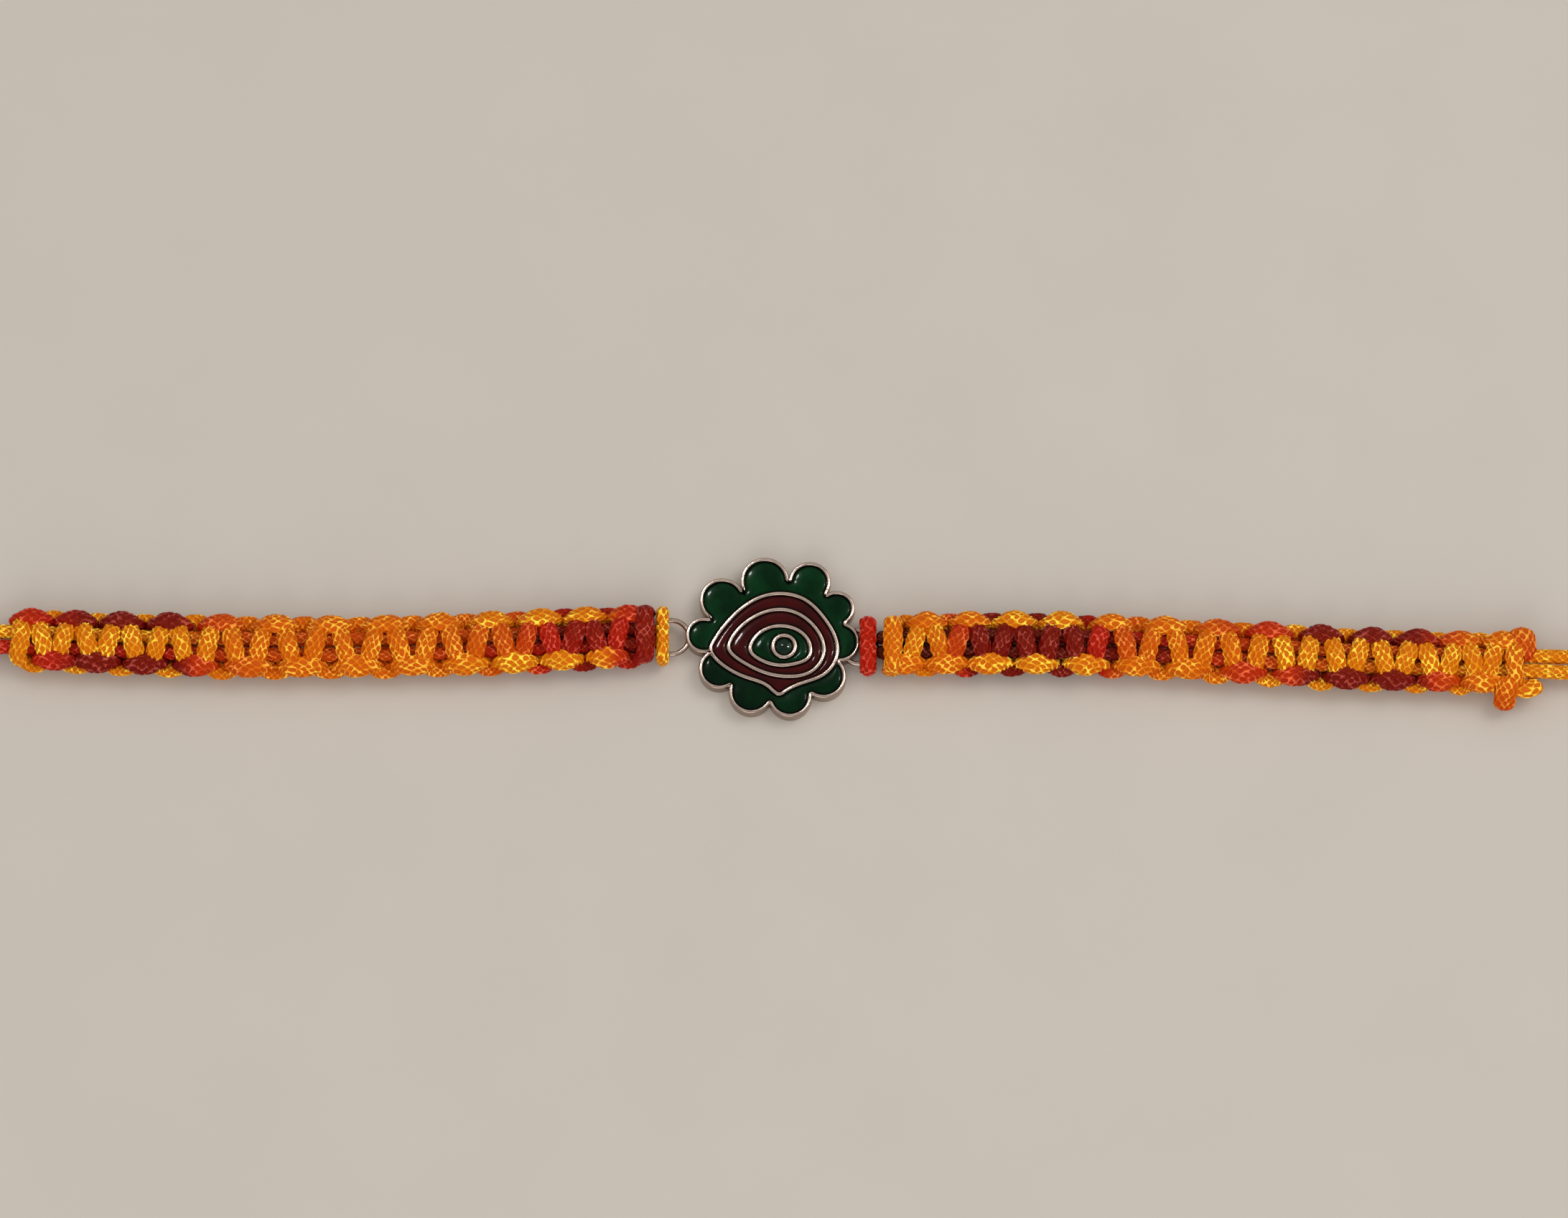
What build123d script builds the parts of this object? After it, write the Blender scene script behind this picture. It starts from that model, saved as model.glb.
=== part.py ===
"""Rakhi thread bracelet: an enamelled silver flower on two bands of square knots, laid out straight.

Millimetres, +Z up. The origin is the middle of the flower's flat back, on the surface it rests on.
+X runs along the bracelet, to the end with the cut cord ends. The enamel faces +Z.
"""

import math
import os

from build123d import *

# Flower: a flat silver plate with a raised rim and raised wire lines
flower_width = 18.7
flower_height = 17.7
flower_thickness = 1.8
pocket_depth = 0.75
enamel_thickness = 0.6
enamel_gap = 0.03
rim_width = 0.38
line_width = 0.42
line_drop = 0.08
line_arcs = 36
pupil_ring_diameter = 2.85

# Soldered loops of round wire, one on each side
loop_diameter = 4.3
loop_wire = 0.55
loop_height = 1.3
left_loop_out = 1.6
left_loop_up = 0.1
right_loop_out = -0.1
right_loop_up = -1.0

# Hitches: the doubled core cord looped onto each soldered loop
hitch_bar_diameter = 1.56
hitch_bar_height = 3.1
hitch_cord = 0.84
hitch_clearance = 0.1
hitch_leg_spacing = 1.04
hitch_bend = 0.5
left_leg_show = 0.45
right_leg_show = 0.87

# Bands of square knots: two flat working cords knotted round two core cords
# A turn is in degrees. A bow bends a band's middle line to one side, a wave to both in turn
band_width = 7.4
band_thickness = 4.3
working_cord_width = 1.8
working_cord_thickness = 1.3
core_cord = 1.6
left_band_length = 68.7
left_band_bars = 26
left_band_turn = 0.375
left_band_bow = 1.1
left_band_wave = 0.0
left_core_stub = 0.5
right_band_length = 68.6
right_band_bars = 27
right_core_stub = 2.3
right_band_turn = -1.7
right_band_bow = 0.45
right_band_wave = 0.33
band_gap = 0.05
loop_swing = 0.31
loop_sink = 0.3
knot_tightness = 0.13

# How finely the knotted surface is faceted
cord_steps = 20
stations_per_bar = 5
points_around = 20

# Tie cords: the ends of the core cords, each with its chosen points in millimetres
left_tie_upper_route = [
    (-82.53, 0.49, 2.15),
    (-87.2, 0.67, 1.75),
    (-92.8, 1.32, 0.9),
    (-100.4, 2.57, 0.81),
    (-109.4, 2.87, 0.81),
    (-118.6, 1.67, 0.82),
    (-124.8, 0.67, 1.1),
    (-129.2, 0.43, 1.9),
]
left_tie_lower_route = [
    (-82.53, -1.16, 2.15),
    (-87.0, -1.28, 1.7),
    (-92.2, -1.93, 0.9),
    (-99.8, -2.93, 0.81),
    (-109.3, -3.03, 0.81),
    (-118.7, -1.93, 0.82),
    (-124.9, -1.28, 1.1),
    (-129.2, -1.22, 1.9),
]
right_tie_upper_route = [
    (82.95, -2.26, 2.15),
    (87.6, -2.31, 1.75),
    (93.2, -1.83, 0.9),
    (101.2, -0.33, 0.81),
    (110.6, -0.03, 0.81),
    (119.8, -1.43, 0.82),
    (125.9, -2.63, 1.1),
    (130.2, -3.05, 1.9),
]
right_tie_lower_route = [
    (82.95, -3.91, 2.15),
    (87.4, -4.03, 1.7),
    (92.8, -4.63, 0.9),
    (100.6, -6.03, 0.81),
    (110.2, -6.73, 0.81),
    (119.6, -5.73, 0.82),
    (125.8, -4.88, 1.1),
    (130.2, -4.7, 1.9),
]
bend_share = 0.45

# Overhand knots that tie each pair together, with two short cut tails
knot_turns = 3
knot_turn_radius = 1.3
knot_turn_spacing = 1.3
knot_lean = 12
tail_length = 11.0
tail_spread = 1.9
knot_gap = 0.2
knot_flat = 0.02

# Last loops of the right band, beside its cut ends: places past the last knot in shares of the
# band's width, height in shares of its thickness, radius in shares of the working cord's width
end_loops = [
    {"along": 0.0, "across": 0.17, "to_along": 0.02, "to_across": 0.34, "height": 0.52, "radius": 0.68},
    {"along": -0.03, "across": -0.38, "to_along": 0.17, "to_across": -0.44, "height": 0.42, "radius": 0.5},
]

# The working cord's cut and melted end that sticks out below the right band
cut_end_diameter = 2.4
cut_end_length = 1.3
cut_end_back = 1.9
cut_end_height = 1.7

# Petals in shares of half the width and half the height, going clockwise from the top left
petals = [
    # cusp before it, then the tip of the petal
    {"cusp_x": -0.361, "cusp_y": 0.607, "tip_x": -0.141, "tip_y": 1.0},
    {"cusp_x": 0.181, "cusp_y": 0.739, "tip_x": 0.381, "tip_y": 0.947},
    {"cusp_x": 0.623, "cusp_y": 0.552, "tip_x": 0.905, "tip_y": 0.486},
    {"cusp_x": 0.843, "cusp_y": 0.178, "tip_x": 1.0, "tip_y": -0.06},
    {"cusp_x": 0.774, "cusp_y": -0.305, "tip_x": 0.812, "tip_y": -0.608},
    {"cusp_x": 0.442, "cusp_y": -0.723, "tip_x": 0.201, "tip_y": -1.0},
    {"cusp_x": -0.041, "cusp_y": -0.833, "tip_x": -0.261, "tip_y": -0.954},
    {"cusp_x": -0.502, "cusp_y": -0.613, "tip_x": -0.854, "tip_y": -0.437},
    {"cusp_x": -0.763, "cusp_y": -0.195, "tip_x": -1.0, "tip_y": 0.09},
    {"cusp_x": -0.743, "cusp_y": 0.244, "tip_x": -0.723, "tip_y": 0.705},
]

# Wire lines in the same shares, each a closed curve going clockwise through its points
drop_line = [
    {"x": -0.733, "y": -0.085},
    {"x": -0.502, "y": 0.265},
    {"x": -0.06, "y": 0.563},
    {"x": 0.342, "y": 0.519},
    {"x": 0.603, "y": 0.265},
    {"x": 0.76, "y": -0.195},
    {"x": 0.623, "y": -0.459},
    {"x": 0.342, "y": -0.592},
    {"x": 0.15, "y": -0.69},
    {"x": 0.07, "y": -0.735},
    {"x": -0.06, "y": -0.64},
    {"x": -0.261, "y": -0.54},
    {"x": -0.522, "y": -0.415},
]
inner_drop_line = [
    {"x": -0.532, "y": -0.075},
    {"x": -0.261, "y": 0.265},
    {"x": 0.141, "y": 0.375},
    {"x": 0.491, "y": 0.156},
    {"x": 0.605, "y": -0.19},
    {"x": 0.462, "y": -0.437},
    {"x": 0.141, "y": -0.51},
    {"x": -0.342, "y": -0.339},
]
eye_line = [
    {"x": -0.285, "y": -0.097},
    {"x": -0.06, "y": 0.145},
    {"x": 0.201, "y": 0.156},
    {"x": 0.432, "y": -0.042},
    {"x": 0.432, "y": -0.25},
    {"x": 0.241, "y": -0.354},
    {"x": -0.1, "y": -0.327},
]
pupil_x = 0.125
pupil_y = -0.108

half_width = flower_width / 2
half_height = flower_height / 2


def curve_points(rows):
    """The millimetre points of a table of shares."""
    return [(row["x"] * half_width, row["y"] * half_height) for row in rows]


def closed_region(rows, grow=0.0):
    """The face inside a closed wire line bent in short arcs, its edge moved outwards by a distance."""
    smooth = Spline(*curve_points(rows), periodic=True)

    def edge_point(share):
        """A point beside the line. Its points go clockwise, so outwards is to their left."""
        return smooth @ (share % 1) + (smooth % (share % 1)).rotate(Axis.Z, 90) * grow

    with BuildSketch() as region:
        with BuildLine():
            for index in range(line_arcs):
                ThreePointArc(*(edge_point((index + step) / line_arcs) for step in (0, 0.5, 1)))
        make_face()
    return region.sketch


def flower_region(grow=0.0):
    """The face inside the ten petals, each petal one arc from cusp to cusp over its tip."""
    with BuildSketch() as region:
        with BuildLine():
            for row, following in zip(petals, petals[1:] + petals[:1]):
                ThreePointArc(
                    (row["cusp_x"] * half_width, row["cusp_y"] * half_height),
                    (row["tip_x"] * half_width, row["tip_y"] * half_height),
                    (following["cusp_x"] * half_width, following["cusp_y"] * half_height),
                )
        make_face()
        if grow:
            offset(amount=grow)
    return region.sketch


def pupil_region(grow=0.0):
    """The round face inside the pupil's ring, grown or shrunk by a distance."""
    with BuildSketch() as region:
        with Locations((pupil_x * half_width, pupil_y * half_height)):
            Circle(pupil_ring_diameter / 2 + grow)
    return region.sketch


line_top = flower_thickness - line_drop
pocket_floor = flower_thickness - pocket_depth


def field_region(inside_line, hole, clearance):
    """The enamel face between a wire line and the piece inside it, held back by a clearance."""
    with BuildSketch() as region:
        add(closed_region(inside_line, -line_width - clearance))
        add(hole, mode=Mode.SUBTRACT)
    return region.sketch


def petals_region(clearance):
    """The two green faces between the rim and the drop line."""
    with BuildSketch() as region:
        add(flower_region(-rim_width - clearance))
        add(closed_region(drop_line, clearance), mode=Mode.SUBTRACT)
    return region.sketch


def field_regions(clearance):
    """Every enamel face by name, with its clearance to the metal."""
    green = petals_region(clearance).faces().sort_by(Axis.Y)
    return {
        "petals_green_lower": green[0],
        "petals_green_upper": green[-1],
        "outer_band_maroon": field_region(drop_line, closed_region(inner_drop_line, clearance), clearance),
        "inner_band_maroon": field_region(inner_drop_line, closed_region(eye_line, clearance), clearance),
        "eye_green": field_region(eye_line, pupil_region(clearance), clearance),
        "pupil_green": pupil_region(-line_width - clearance),
    }


def strand(points, diameter, bend_radius=0.0, rounded=True):
    """A length of round cord through its points, with round ends where asked."""
    if len(points) == 2:
        path = Line(*points)
    else:
        path = FilletPolyline(*points, radius=bend_radius)
    with BuildPart() as cord:
        with BuildSketch(Plane(origin=path @ 0, z_dir=path % 0)):
            Circle(diameter / 2)
        sweep(path=path)
        if rounded:
            with Locations(path @ 0, path @ 1):
                Sphere(diameter / 2)
    return cord.part


# Soldered loops: the middle circle of the wire lies level beside the plate
loop_mid_radius = (loop_diameter - loop_wire) / 2
left_loop = Vector(-half_width - left_loop_out, left_loop_up, loop_height)
right_loop = Vector(half_width + right_loop_out, right_loop_up, loop_height)

# The enamelled flower's metal: plate, rim, lines, pupil ring and loops are one soldered piece
with BuildPart() as silver_frame:
    with Locations(left_loop, right_loop):
        Torus(loop_mid_radius, loop_wire / 2)
    with BuildSketch():
        add(flower_region())
    extrude(amount=flower_thickness)
    with BuildSketch(Plane.XY.offset(line_top)):
        add(flower_region(-rim_width))
    extrude(amount=line_drop, mode=Mode.SUBTRACT)
    with BuildSketch(Plane.XY.offset(pocket_floor)):
        for region in field_regions(0.0).values():
            add(region)
    extrude(amount=pocket_depth, mode=Mode.SUBTRACT)
silver_frame.part.label = "silver_frame"

# One enamel fill for each field between the lines
enamel_fills = []
for name, region in field_regions(enamel_gap).items():
    with BuildPart() as fill:
        with BuildSketch(Plane.XY.offset(pocket_floor + enamel_gap)):
            add(region)
        extrude(amount=enamel_thickness)
    fill.part.label = name
    enamel_fills.append(fill.part)

# Where a hitch's cord runs, measured from its loop of wire
hole_radius = loop_diameter / 2 - loop_wire
leg_radius = hole_radius - hitch_clearance - hitch_cord / 2
leg_in = math.sqrt(leg_radius**2 - (hitch_leg_spacing / 2) ** 2)
around_radius = loop_diameter / 2 + hitch_clearance + hitch_cord / 2
around_out = math.sqrt(around_radius**2 - leg_in**2)
over_height = loop_height + loop_wire / 2 + hitch_clearance + hitch_cord / 2
under_height = loop_height - loop_wire / 2 - hitch_clearance - hitch_cord / 2
core_spacing = core_cord + band_gap


def band_start(loop, side, leg_show):
    """The place along X where the band on this side begins."""
    return loop.X + side * (loop_mid_radius + leg_show)


def hitch(loop, side, leg_show):
    """A cord that comes out of the band, dips through the loop of wire and crosses its own legs."""
    leg_x = loop.X + side * leg_in
    start_x = band_start(loop, side, leg_show) - side * band_gap
    half_route = [
        (start_x, core_spacing / 2, over_height),
        (leg_x, hitch_leg_spacing / 2, over_height),
        (leg_x, hitch_leg_spacing / 2, under_height),
        (leg_x, around_out, under_height),
        (leg_x, around_out, hitch_bar_height),
    ]
    upper = [(x, loop.Y + y, z) for x, y, z in half_route]
    lower = [(x, loop.Y - y, z) for x, y, z in reversed(half_route)]
    cord = strand(upper + lower, hitch_cord, hitch_bend, rounded=False)
    bar = strand([upper[-1], lower[0]], hitch_bar_diameter)
    with BuildPart() as knot:
        add([cord, bar])
    return knot.part


left_hitch = hitch(left_loop, -1, left_leg_show)
left_hitch.label = "left_hitch"
right_hitch = hitch(right_loop, 1, right_leg_show)
right_hitch.label = "right_hitch"


def along_band(share, length):
    """Where a share of a band's knots ends: they are drawn tighter towards its two ends."""
    return length * (share - knot_tightness * math.sin(2 * math.pi * share) / (2 * math.pi))


def working_cord_point(turn, cord, length, bars):
    """The middle of a working cord, as it crosses one face, loops round the edge and crosses the other.

    One bar of the front face is half a turn. The two cords are each other turned over.
    """
    reach = (band_width - working_cord_thickness) / 2
    rise = (band_thickness - working_cord_thickness) / 2
    bar_spacing = length / bars
    along = along_band(turn / math.pi / bars, length) + loop_swing * bar_spacing * math.sin(2 * turn)
    across = -cord * reach * math.cos(turn)
    up = -cord * rise * math.cos(2 * turn) * (1 - loop_sink * math.cos(turn) ** 2)
    return Vector(along, across, up)


def cord_marks(length, bars):
    """Balls along both edges of each flat working cord, as a list of centre and radius."""
    radius = working_cord_thickness / 2
    side_step = working_cord_width / 2 - radius
    marks = []
    for cord in (1, -1):
        for step in range(1, bars * cord_steps):
            turn = math.pi * step / cord_steps
            middle = working_cord_point(turn, cord, length, bars)
            ahead = working_cord_point(turn + math.pi / cord_steps / 4, cord, length, bars)
            outward = Vector(0, middle.Y / band_width, middle.Z / band_thickness)
            flat = (ahead - middle).cross(outward).normalized()
            marks += [(middle + flat * side_step, radius), (middle - flat * side_step, radius)]
    return marks


def loop_marks(length):
    """Balls along the last loops beside the cut ends."""
    marks = []
    for row in end_loops:
        up = (row["height"] - 0.5) * band_thickness
        for share in (0, 0.5, 1):
            along = row["along"] + share * (row["to_along"] - row["along"])
            across = row["across"] + share * (row["to_across"] - row["across"])
            centre = Vector(length + along * band_width, across * band_width, up)
            marks.append((centre, row["radius"] * working_cord_width))
    return marks


def outermost(along, direction, marks):
    """How far the outermost cord reaches from the band's middle line, in one direction.

    The two core cords, pressed together, make an oval.
    """
    core_half_width = (core_spacing + core_cord) / 2
    reach = 1 / math.hypot(direction.Y / core_half_width, direction.Z / (core_cord / 2))
    for centre, radius in marks:
        towards = centre.Y * direction.Y + centre.Z * direction.Z
        aside = centre.Y * direction.Z - centre.Z * direction.Y
        room = radius**2 - (centre.X - along) ** 2 - aside**2
        if room > 0:
            reach = max(reach, towards + math.sqrt(room))
    return reach


def in_band(point, place, length, bow, wave):
    """A place in a band, whose middle line bends a little to the sides on its way."""
    share = point.X / length
    sideways = bow * math.sin(math.pi * share) + wave * math.sin(2 * math.pi * share)
    return place.from_local_coords(point + Vector(0, sideways, 0))


def knotted_band(place, length, bow, wave, bars, core_stub, end_marks):
    """Square knots round two core cords, as one faceted skin over all its cords."""
    marks = cord_marks(length, bars) + end_marks
    steps = bars * stations_per_bar
    stations = [along_band(step / steps, length) for step in range(steps + 1)]
    stations += [length + core_stub * share for share in (0.3, 0.6, 1)]
    rings = []
    for along in stations:
        near_marks = [(centre, radius) for centre, radius in marks if abs(centre.X - along) < radius]
        ring = []
        for index in range(points_around):
            angle = 2 * math.pi * (index + 0.5) / points_around
            direction = Vector(0, math.cos(angle), math.sin(angle))
            point = Vector(along, 0, band_thickness / 2) + direction * outermost(along, direction, near_marks)
            ring.append(in_band(point, place, length, bow, wave))
        rings.append(ring)
    faces = [Face(Wire.make_polygon(rings[0])), Face(Wire.make_polygon(rings[-1]))]
    for ring, following in zip(rings, rings[1:]):
        for index in range(points_around):
            after = (index + 1) % points_around
            faces.append(Face(Wire.make_polygon([ring[index], ring[after], following[after]])))
            faces.append(Face(Wire.make_polygon([ring[index], following[after], following[index]])))
    return Solid(Shell(faces))


left_start = (band_start(left_loop, -1, left_leg_show), left_loop.Y, 0)
left_heading = Vector(-1, 0, 0).rotate(Axis.Z, left_band_turn)
left_line = (Plane(origin=left_start, x_dir=left_heading), left_band_length, left_band_bow, left_band_wave)
left_band = knotted_band(*left_line, left_band_bars, left_core_stub, [])
left_band.label = "left_band"

right_start = (band_start(right_loop, 1, right_leg_show), right_loop.Y, 0)
right_heading = Vector(1, 0, 0).rotate(Axis.Z, right_band_turn)
right_line = (Plane(origin=right_start, x_dir=right_heading), right_band_length, right_band_bow, right_band_wave)
right_loops = loop_marks(right_band_length)
right_band = knotted_band(*right_line, right_band_bars, right_core_stub, right_loops)
right_band.label = "right_band"

# The cut end, square to the band's edge
cut_end_along = right_band_length - cut_end_back
cut_end_edge = band_width / 2 + band_gap
cut_end = strand(
    [
        in_band(Vector(cut_end_along, -cut_end_edge, cut_end_height), *right_line),
        in_band(Vector(cut_end_along, -cut_end_edge - cut_end_length, cut_end_height), *right_line),
    ],
    cut_end_diameter,
    rounded=False,
)
cut_end.label = "lower_cut_end"


def bend_radii(route):
    """The largest bend that each corner's two runs leave room for."""
    radii = []
    for before, corner, after in zip(route, route[1:], route[2:]):
        run_in = Vector(*corner) - Vector(*before)
        run_out = Vector(*after) - Vector(*corner)
        half_turn = math.radians(run_in.get_angle(run_out)) / 2
        radii.append(bend_share * min(run_in.length, run_out.length) / math.tan(half_turn))
    return radii


# The four tie cords
ties = []
for name, route in {
    "left_tie_upper": left_tie_upper_route,
    "left_tie_lower": left_tie_lower_route,
    "right_tie_upper": right_tie_upper_route,
    "right_tie_lower": right_tie_lower_route,
}.items():
    radii = bend_radii(route)
    tie = strand(route, core_cord, radii, rounded=False)
    tie.label = name
    ties.append(tie)
    middle_length = tie.volume / (math.pi * (core_cord / 2) ** 2)
    print(name, "length", round(middle_length, 1), "radii", [round(radius) for radius in radii])


def tie_knot(upper_route, lower_route, side):
    """An overhand knot over a pair of ties: turns round both cords, and two cut tails."""
    upper = Vector(*upper_route[-1])
    lower = Vector(*lower_route[-1])
    entry = (upper + lower) / 2
    turns = []
    turn_outside = knot_turn_radius + core_cord / 2
    first_turn = knot_gap + core_cord / 2 + turn_outside * math.sin(math.radians(knot_lean))
    for index in range(knot_turns):
        along = first_turn + index * knot_turn_spacing
        lean = knot_lean * (1 if index % 2 else -1)
        centre = Vector(entry.X + side * along, entry.Y, turn_outside)
        turns.append(Plane(origin=centre, z_dir=Vector(1, 0, 0).rotate(Axis.Z, lean)))
    tails = []
    for start, spread in ((upper, tail_spread), (lower, -tail_spread)):
        first = start + Vector(side * knot_gap, 0, 0)
        second = Vector(first.X + side * tail_length / 2, start.Y, start.Z)
        last = Vector(first.X + side * tail_length, start.Y + spread, core_cord / 2)
        route = [first, second, last]
        tails.append(strand(route, core_cord, bend_radii(route), rounded=False))
    with BuildPart() as turn:
        Cylinder(turn_outside, core_cord)
        fillet(turn.edges(), core_cord / 2 - knot_flat)
    with BuildPart() as knot:
        with Locations(*turns):
            add(turn.part)
        add(tails)
    return knot.part


left_tie_knot = tie_knot(left_tie_upper_route, left_tie_lower_route, -1)
left_tie_knot.label = "left_tie_knot"
right_tie_knot = tie_knot(right_tie_upper_route, right_tie_lower_route, 1)
right_tie_knot.label = "right_tie_knot"

os.makedirs("parts", exist_ok=True)
pieces = [silver_frame.part, *enamel_fills, left_hitch, right_hitch, left_band, right_band, cut_end]
pieces += [*ties, left_tie_knot, right_tie_knot]
for piece in pieces:
    export_step(piece, f"parts/{piece.label}.step")
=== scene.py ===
"""The looks of the rakhi thread bracelet: knitted cords, silver and enamel around the frame from model.glb.

Metres, +Z up, on the surface that the bracelet lies on. Tables and values in millimetres say so.
"""

import math

import bmesh
import bpy
import numpy as np
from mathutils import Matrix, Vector
from mathutils.kdtree import KDTree


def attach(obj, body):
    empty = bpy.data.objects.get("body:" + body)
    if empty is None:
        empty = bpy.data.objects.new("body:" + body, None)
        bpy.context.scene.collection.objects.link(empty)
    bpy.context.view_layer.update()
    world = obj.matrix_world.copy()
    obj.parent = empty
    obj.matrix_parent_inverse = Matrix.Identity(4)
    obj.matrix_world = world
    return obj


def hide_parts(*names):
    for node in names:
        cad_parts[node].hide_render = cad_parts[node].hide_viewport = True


bl_info = {
    "name": "Rakhi Thread Bracelet",
    "version": (1, 0, 0),
    "blender": (4, 5, 0),
    "location": "3D View > Sidebar > Rakhi",
    "description": "Builds a rakhi of knotted cords with an enamelled silver flower",
    "category": "Object",
}

MM = 0.001
BODY = "root"

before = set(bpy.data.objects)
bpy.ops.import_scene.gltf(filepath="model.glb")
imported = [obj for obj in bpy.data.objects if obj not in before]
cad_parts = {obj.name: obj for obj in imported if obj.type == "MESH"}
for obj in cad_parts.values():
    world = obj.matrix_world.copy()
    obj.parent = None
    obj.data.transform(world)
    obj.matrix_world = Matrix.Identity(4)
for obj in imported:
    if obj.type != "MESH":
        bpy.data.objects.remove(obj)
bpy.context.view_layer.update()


def srgb(red, green, blue):
    """A linear colour from its 0 to 255 screen values."""
    shares = [level / 255 for level in (red, green, blue)]
    return tuple(s / 12.92 if s <= 0.04045 else ((s + 0.055) / 1.055) ** 2.4 for s in shares)


# Bands of square knots, in millimetres: the frame's thickness, the working cords' swing sideways and up,
# their extra width at the edges, and the core cords' place
BAND_THICKNESS = 4.3
BAND_REACH = 2.4
BAND_RISE = 1.5
LOOP_SPREAD = 0.34
CORE_SIDE = 0.825
CORE_LIFT = 0.25

# Shares: how far an edge loop leans along the band, sinks and tilts, how much a diving cord is squeezed,
# how square the swing is, and how much tighter the knots get near the ends
LOOP_LEAN = 0.36
LOOP_SINK = 0.42
LOOP_TILT = 0.18
DIVE_SQUEEZE = 0.12
SWING_SQUARENESS = 0.6
END_TIGHTNESS = 0.13

# The front cord's first and last bar, in bars. No loop lies over them: they reach further and dip steeply
FIRST_BAR_END = 0.95
LAST_BAR_HOLD = 0.7
FREE_BAR_FADE = 0.3
FREE_BAR_REACH = 0.12
FREE_BAR_DIP = 1.7

# Share of a bar that is cut off each working cord at its start and its end
FRONT_TRIM = (-0.1, 0.1)
BACK_TRIM = (0.42, 0.42)

# Each band's place, its turn in degrees, its bends and lengths in millimetres, and its number of bars
BANDS = {
    "left": {
        "origin": (-13.275, 0.1, 0.0), "heading": 180.375, "bow": 1.1, "wave": 0.0, "length": 68.7,
        "bars": 26, "lead": 0.5, "stub": 1.7, "first_bar": 0.5,
    },
    "right": {
        "origin": (11.995, -1.0, 0.0), "heading": -1.7, "bow": 0.45, "wave": 0.33, "length": 68.6,
        "bars": 27, "lead": 0.95, "stub": 3.5, "first_bar": 0.9,
    },
}

# Unevenness of the working cords: the strength and rate of its waves, the step between seeds, and each
# kind's rate, strength and seed. Its strength is in loosenesses ahead and sideways, a share of the width,
# and millimetres of dye
UNEVEN_WAVES = ((1.0, 0.83), (0.6, 1.97), (0.35, 3.31))
SEED_STEP = 3.7
UNEVENNESS = {
    "ahead": (0.9, 1.3, 5),
    "sideways": (1.0, 1.0, 9),
    "width": (0.7, 0.07, 2),
    "dye": (2.1, 0.5, 4),
}

# Rings in a stitch's length, points round each cord, and the form and steps of a cord's course
WORKING_RINGS, WORKING_POINTS = 7, 40
CORE_RINGS, CORE_POINTS = 6, 30
TIE_RINGS, TIE_POINTS = 8, 30
STUB_POINTS = 64
SPLINE_ORDER, SPLINE_STEPS = 3, 40
ROUTE_STEPS_PER_BAR = 120
LOOK_AHEAD = 0.04

# The net's small waves (strength, waves round the cord, twist along it), how gently its strands fall into
# the holes, how small a cord's round end starts, and steps for finding an oval's length
SWAY_ALONG = (0.15, 2, 1.7)
SWAY_AROUND = (0.12, 3, -1.3)
STRAND_SLOPE = 0.8
SMALLEST_END = 0.02
OVAL_STEPS = 720

# Dye of each cord at places along its band, in millimetres from the flower, and the same beyond them
WORKING_DYES = {
    "left_front": [
        (0.0, "maroon"), (3.0, "red"), (6.5, "maroon"), (10.5, "red"), (12.6, "rust"), (14.0, "orange"),
        (24.0, "amber"), (44.0, "amber"), (50.0, "yellow"),
    ],
    "left_back": [
        (0.0, "red"), (3.2, "rust"), (4.6, "amber"), (7.0, "yellow"), (16.0, "yellow"), (22.0, "amber"),
        (40.0, "amber"), (45.5, "orange"), (48.5, "rust"), (50.5, "maroon"), (61.5, "maroon"),
        (64.5, "red"), (68.7, "rust"),
    ],
    "right_front": [
        (0.0, "amber"), (4.5, "yellow"), (6.5, "orange"), (8.6, "red"), (9.8, "maroon"),
        (20.5, "maroon"), (23.0, "red"), (25.5, "orange"), (30.0, "amber"), (39.0, "amber"),
        (42.0, "yellow"), (62.0, "yellow"), (68.6, "amber"),
    ],
    "right_back": [
        (10.0, "amber"), (12.0, "yellow"), (20.0, "yellow"), (24.0, "amber"), (33.0, "amber"),
        (36.0, "orange"), (38.5, "rust"), (43.5, "rust"), (45.5, "maroon"), (57.5, "maroon"),
        (59.5, "rust"), (61.5, "orange"), (64.0, "amber"), (68.6, "amber"),
    ],
}
# The right cores start in maroon darkened as painted shade, where they lie in shadow
CORE_DYES = {
    "left_upper": [(12.0, "maroon"), (16.0, "orange"), (46.0, "orange"), (54.0, "yellow")],
    "left_lower": [
        (0.0, "maroon"), (14.0, "red"), (20.0, "rust"), (26.0, "orange"), (42.0, "orange"),
        (50.0, "red"),
    ],
    "right_upper": [
        (0.0, "maroon_painted_shade"), (24.0, "maroon"), (28.0, "red"), (34.0, "rust"), (46.0, "orange"),
        (64.0, "orange"), (68.6, "yellow"),
    ],
    "right_lower": [
        (0.0, "maroon_painted_shade"), (28.0, "maroon"), (36.0, "rust"), (44.0, "orange"), (68.6, "yellow"),
    ],
}

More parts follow.
